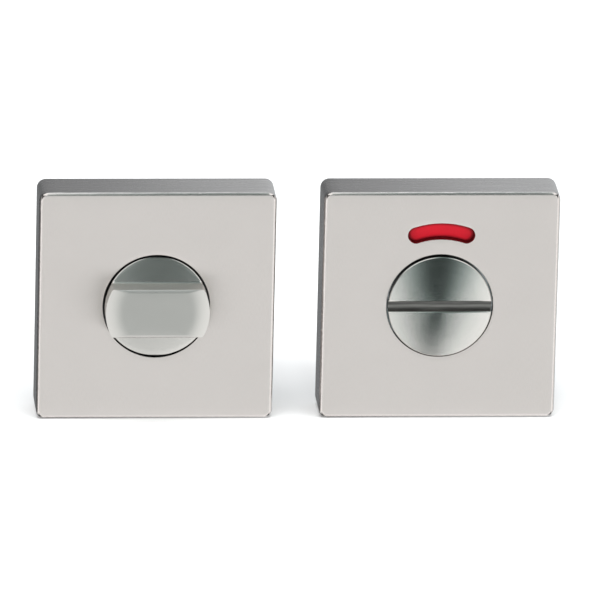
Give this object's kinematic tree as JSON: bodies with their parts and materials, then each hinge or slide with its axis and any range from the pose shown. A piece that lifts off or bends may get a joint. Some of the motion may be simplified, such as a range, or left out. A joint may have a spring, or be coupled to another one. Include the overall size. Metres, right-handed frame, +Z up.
{
  "type": "toilet indicator bolt",
  "caption": "Square satin steel toilet indicator bolt: inside half with a thumb turn, outside half with an occupied/vacant window and a coin slot release.",
  "frame": {"origin": "on the door plane, on the spindle axis of the inside half with the thumb turn", "axes": "+Y into the door, away from the faces; +X from the inside half to the outside half as the set is laid out; +Z up"},
  "size_m": [0.1165, 0.0701, 0.053],
  "materials": {
    "satin_steel": "satin brushed stainless steel",
    "turned_steel": "fine turned stainless steel",
    "cast_zinc": "die-cast zinc, as cast",
    "nylon": "moulded natural nylon",
    "spring_steel": "oiled spring steel",
    "plated_steel": "bright zinc plate",
    "red_film": "printed red film",
    "white_film": "printed white film"
  },
  "bodies": {
    "fixed_parts": {"inside_cover": "satin_steel", "inside_base_plate": "cast_zinc", "inside_bearing_bush": "nylon", "inside_cover_springs": "spring_steel", "fixing_bolts": "plated_steel", "outside_cover": "satin_steel", "outside_base_plate": "cast_zinc", "outside_bearing_bush": "nylon", "outside_cover_springs": "spring_steel", "threaded_pillars": "plated_steel"},
    "turn_unit": {"thumb_turn": "turned_steel", "turn_spring_washer": "spring_steel", "turn_stop_plate": "plated_steel", "turn_circlip": "spring_steel", "spindle": "plated_steel", "spindle_grub_screw": "spring_steel"},
    "release_unit": {"release_turn": "turned_steel", "release_spring_washer": "spring_steel", "release_circlip": "spring_steel", "indicator_plate": "plated_steel", "occupied_sector": "red_film", "vacant_sector": "white_film"}
  },
  "joints": [
    {"name": "thumb_turn_rotation", "type": "hinge", "parent": "fixed_parts", "child": "turn_unit", "pos_m": [0, 0, 0], "axis": [0, 1, 0], "range_deg": [0, 90]},
    {"name": "release_rotation", "type": "hinge", "parent": "fixed_parts", "child": "release_unit", "pos_m": [0.0635, 0, 0], "axis": [0, -1, 0], "range_deg": [0, 90]}
  ],
  "couplings": [
    {"joint": "release_rotation", "follows": "thumb_turn_rotation", "ratio": 1}
  ]
}
